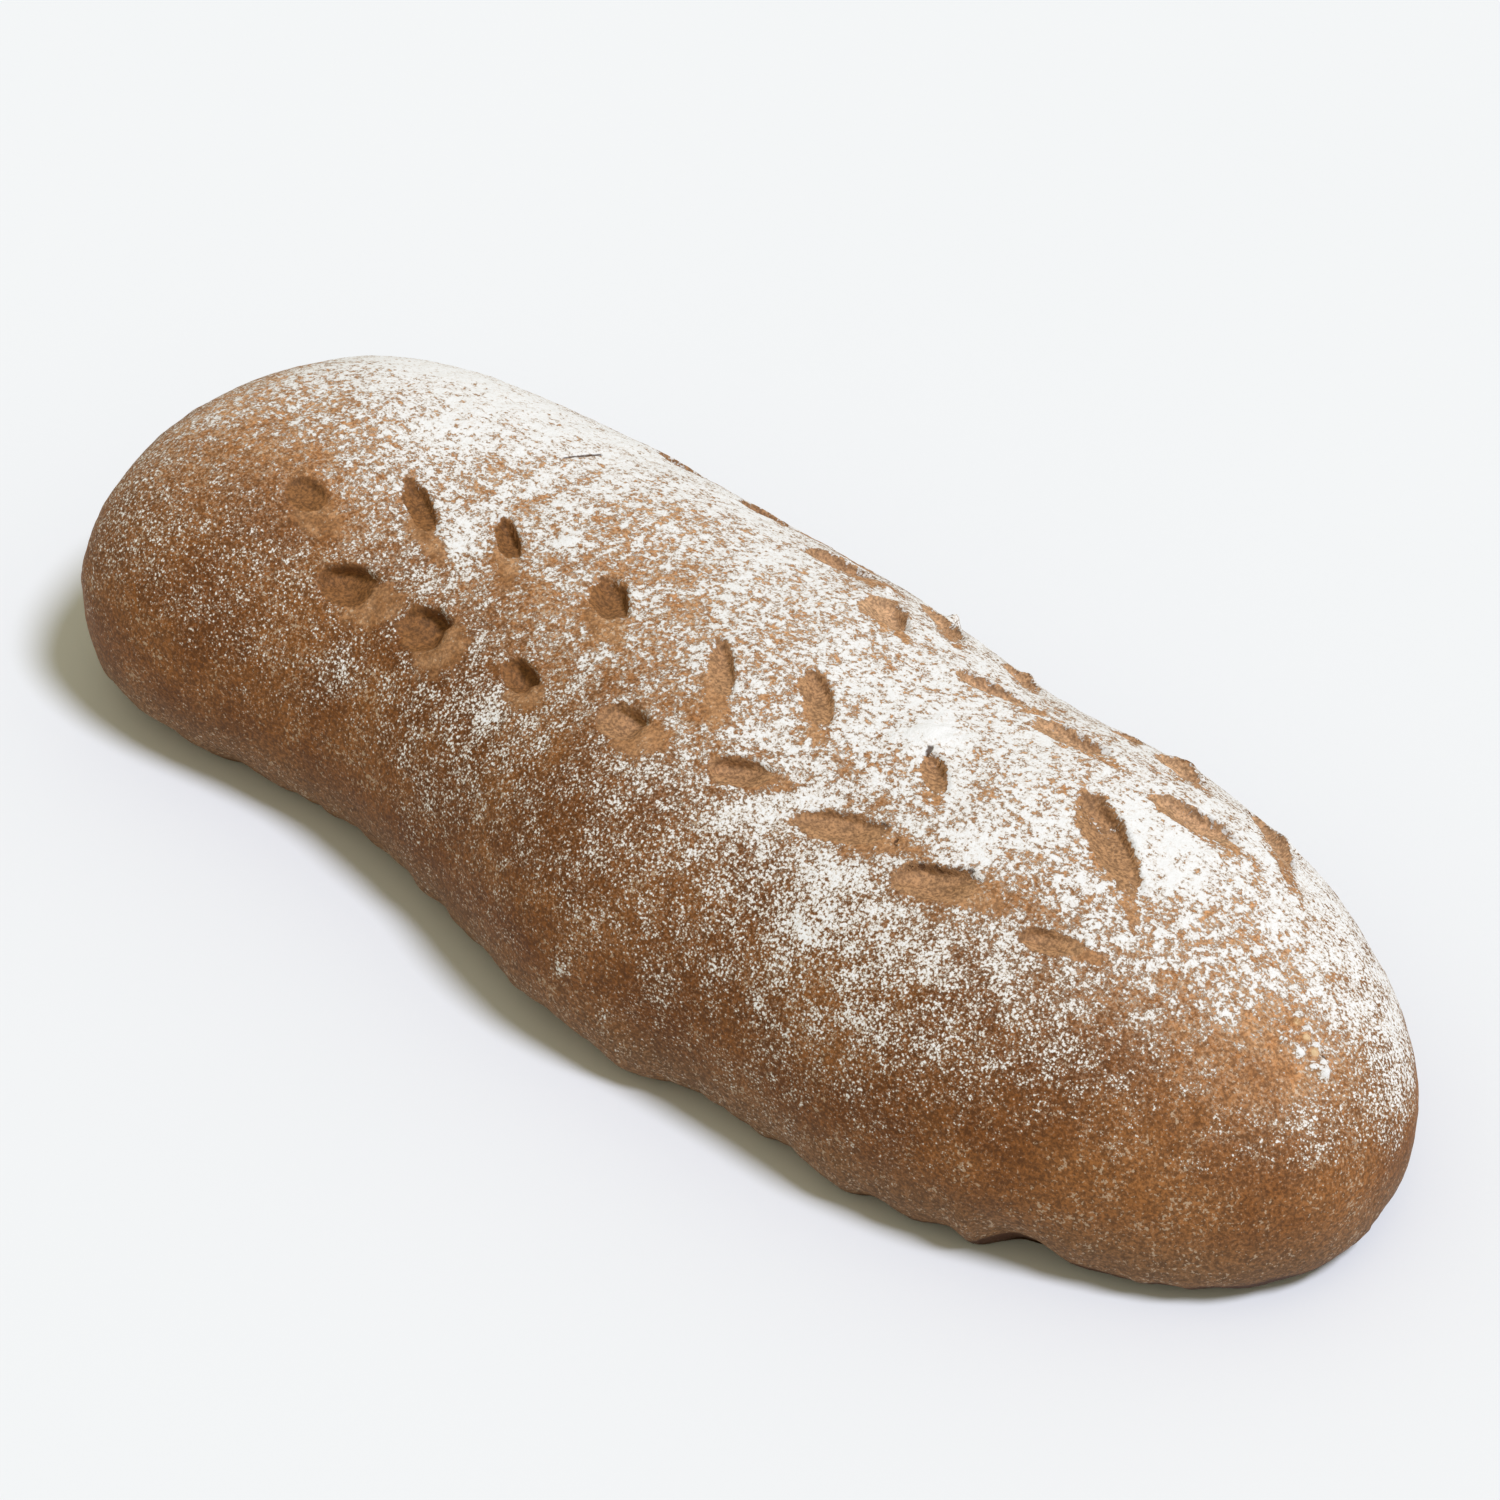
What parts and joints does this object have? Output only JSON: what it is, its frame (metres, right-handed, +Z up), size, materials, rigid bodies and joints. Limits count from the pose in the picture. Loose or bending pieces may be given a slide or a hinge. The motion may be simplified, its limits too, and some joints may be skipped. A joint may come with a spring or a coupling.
{
  "type": "bread loaf",
  "caption": "Long free-form wholegrain loaf, gently curved with rounded ends and a flat base, dusted with flour and pressed with spoon-shaped marks in grain-ear patterns",
  "frame": {"origin": "on the table, under the middle of the loaf's box", "axes": "+X runs along the loaf to its right end, +Y across it, +Z up; the flat base lies on z = 0"},
  "size_m": [0.38, 0.1508, 0.076],
  "materials": {
    "crust": "matte brown baked crust with a patchy dusting of white flour"
  },
  "bodies": {
    "root": {"loaf": "crust"}
  },
  "joints": []
}
